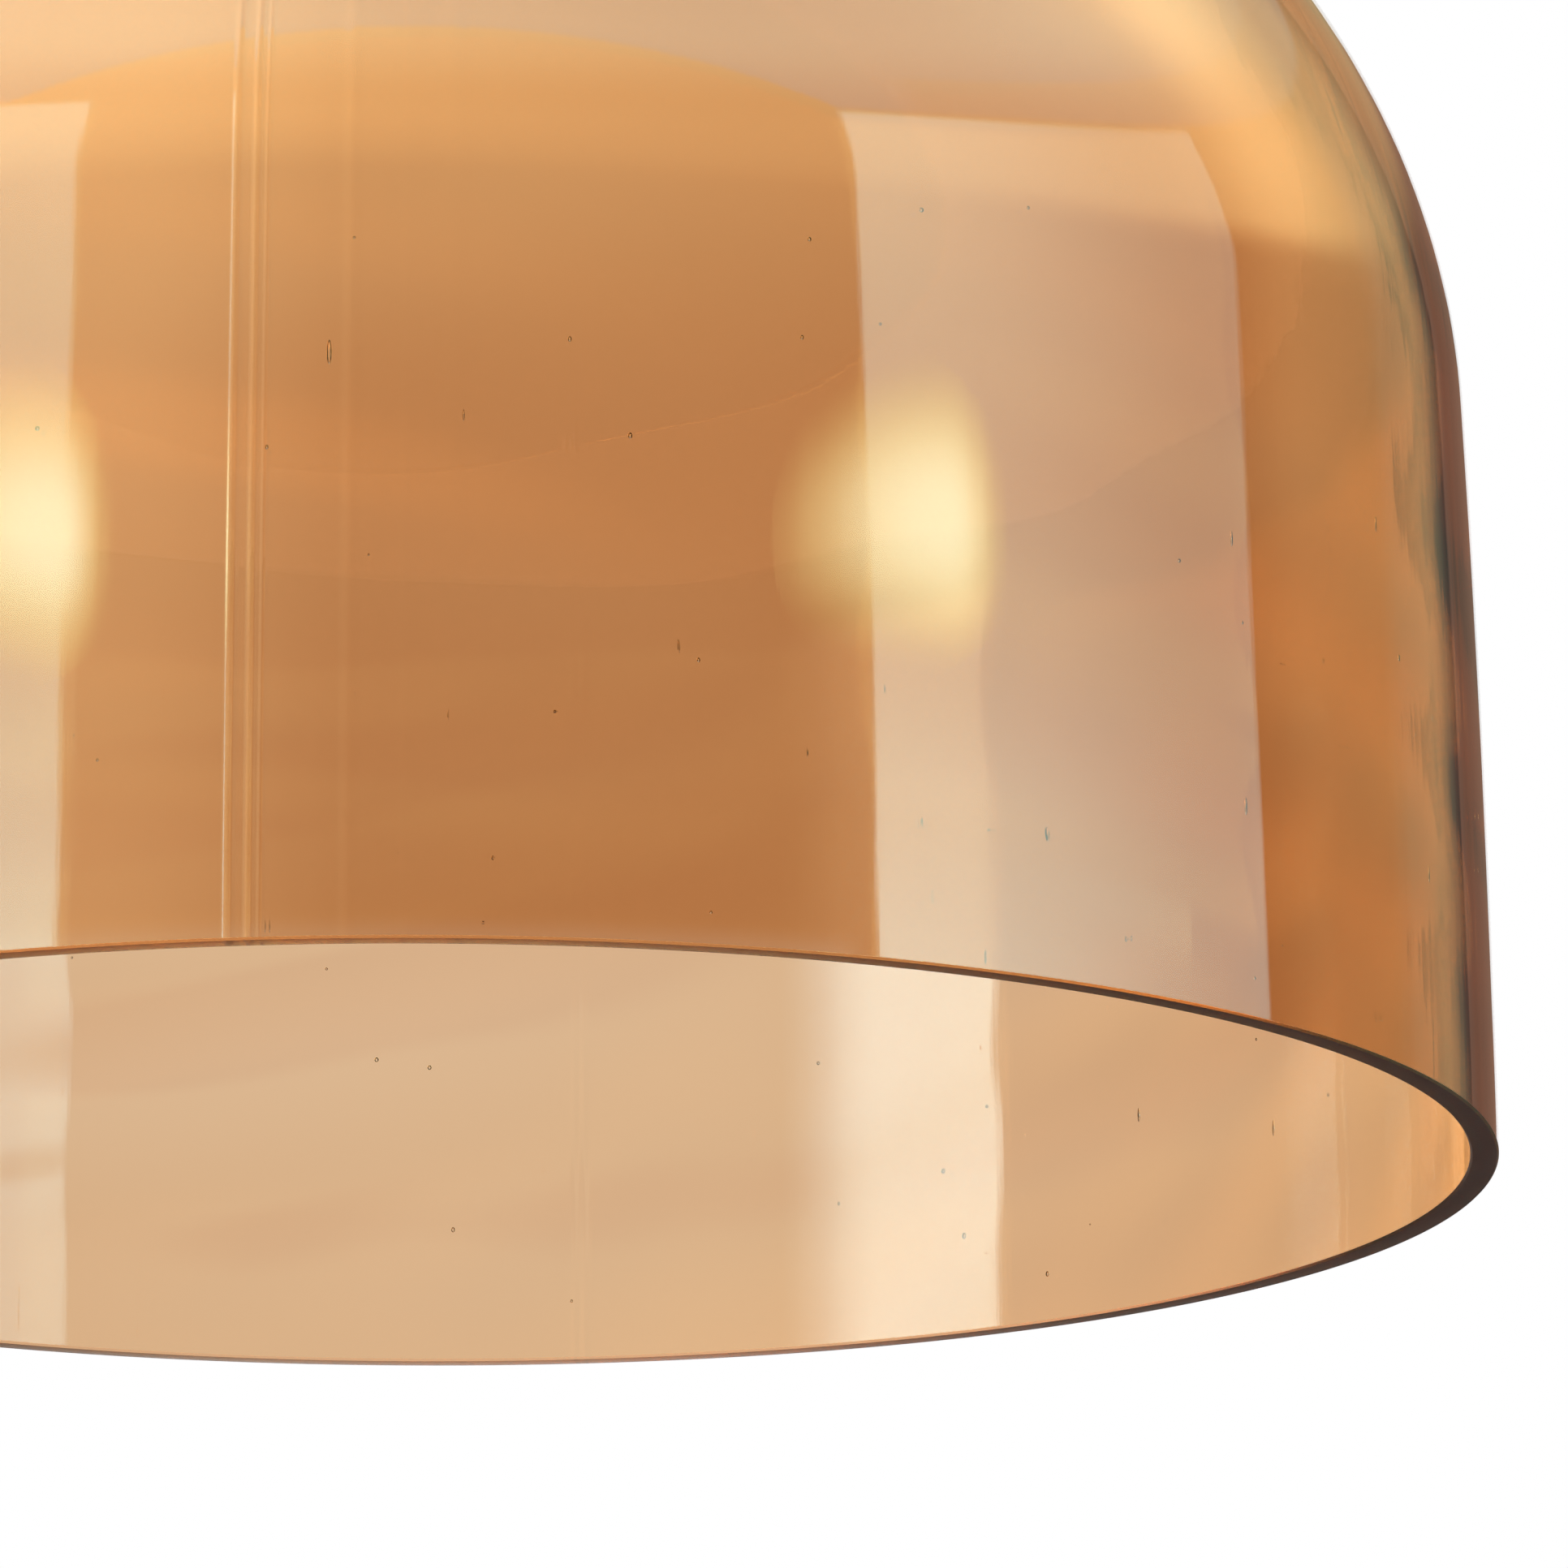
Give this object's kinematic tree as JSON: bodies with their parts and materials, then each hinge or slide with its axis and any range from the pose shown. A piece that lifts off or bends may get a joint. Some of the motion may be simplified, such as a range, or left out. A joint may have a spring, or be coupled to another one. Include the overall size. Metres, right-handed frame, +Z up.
{
  "type": "glass pendant lamp head",
  "caption": "Pendant lamp head: thin blown amber glass bell shade clamped by a threaded ring to a cupped screw lampholder, with cord gland and globe bulb.",
  "frame": {"origin": "centre of the cord hole at the top face of the cord gland", "axes": "+Z up along the cord and the shade's axis; +X towards the gland's clamping screw"},
  "size_m": [0.3, 0.3, 0.3133],
  "materials": {
    "amber_glass": "clear blown glass, ground rim",
    "clear_glass": "clear",
    "satin_brass": "fine brushed, lacquered",
    "bare_brass": "stamped, unlacquered",
    "phenolic": "moulded black",
    "porcelain": "glazed ceramic",
    "gasket_rubber": "matt",
    "zinc_steel": "zinc plated",
    "green_steel": "green earth screw",
    "spring_bronze": "rolled phosphor bronze",
    "nylon": "natural nylon",
    "bulb_cap_metal": "rolled nickel-plated",
    "black_glass": "vitrite",
    "solder": "satin",
    "circuit_board": "coated board",
    "nickel_wire": "drawn",
    "phosphor": "yellow silicone with phosphor"
  },
  "bodies": {
    "holder": {"upper_gasket": "gasket_rubber", "cord_gland": "satin_brass", "gland_washer": "satin_brass", "top_cup": "satin_brass", "threaded_nipple": "bare_brass", "earth_tag": "bare_brass", "earth_screw": "green_steel", "lock_washer": "zinc_steel", "lock_nut": "bare_brass", "holder_cap": "phenolic", "holder_lock_screw": "zinc_steel", "holder_barrel": "phenolic", "contact_block": "porcelain", "screw_shell": "bare_brass", "shell_rivets": "bare_brass", "neutral_strap": "bare_brass", "live_strap": "bare_brass", "contact_foot": "spring_bronze", "foot_rivet": "bare_brass", "terminal_blocks": "bare_brass", "terminal_screws": "zinc_steel"},
    "shade": {"glass_shade": "amber_glass", "lower_gasket": "gasket_rubber"},
    "ring": {"shade_ring": "phenolic"},
    "bulb_carriage": {"bulb_tip_contact": "solder"},
    "bulb": {"bulb_globe": "clear_glass", "bulb_cap": "bulb_cap_metal", "bulb_insulator": "black_glass", "bulb_driver": "circuit_board", "bulb_stem": "clear_glass", "bulb_leads": "nickel_wire", "bulb_filaments": "phosphor"},
    "tongue": {"centre_contact": "spring_bronze"},
    "clamp_tip": {"gland_screw_tip": "nylon"},
    "clamp_screw": {"gland_screw": "satin_brass"}
  },
  "joints": [
    {"name": "shade_drop", "type": "slide", "parent": "holder", "child": "shade", "axis": [0, 0, 1], "range_m": [-0.005, 0]},
    {"name": "ring_turn", "type": "hinge", "parent": "shade", "child": "ring", "pos_m": [0, 0, -0.0987], "axis": [0, 0, 1], "range_deg": [-720, 0]},
    {"name": "bulb_out", "type": "slide", "parent": "holder", "child": "bulb_carriage", "axis": [0, 0, 1], "range_m": [-0.01815, 0]},
    {"name": "bulb_turn", "type": "hinge", "parent": "bulb_carriage", "child": "bulb", "pos_m": [0, 0, -0.0737], "axis": [0, 0, 1], "range_deg": [-1800, 0]},
    {"name": "tongue_spring", "type": "hinge", "parent": "holder", "child": "tongue", "pos_m": [-0.0051, 0, -0.0697], "axis": [0, -1, 0], "range_deg": [0, 10], "stiffness_Nm_per_rad": 0.05, "springref_deg": -17.19},
    {"name": "clamp_in", "type": "slide", "parent": "holder", "child": "clamp_tip", "axis": [-1, 0, 0], "range_m": [-0.0028, 0.0014]},
    {"name": "clamp_turn", "type": "hinge", "parent": "clamp_tip", "child": "clamp_screw", "pos_m": [0.0048, 0, -0.006], "axis": [-1, 0, 0], "range_deg": [-1440, 720]}
  ],
  "couplings": [
    {"joint": "ring_turn", "follows": "shade_drop", "rad_per_m": 2513.3},
    {"joint": "bulb_turn", "follows": "bulb_out", "rad_per_m": 1730.9},
    {"joint": "clamp_turn", "follows": "clamp_in", "rad_per_m": 8975.9}
  ]
}
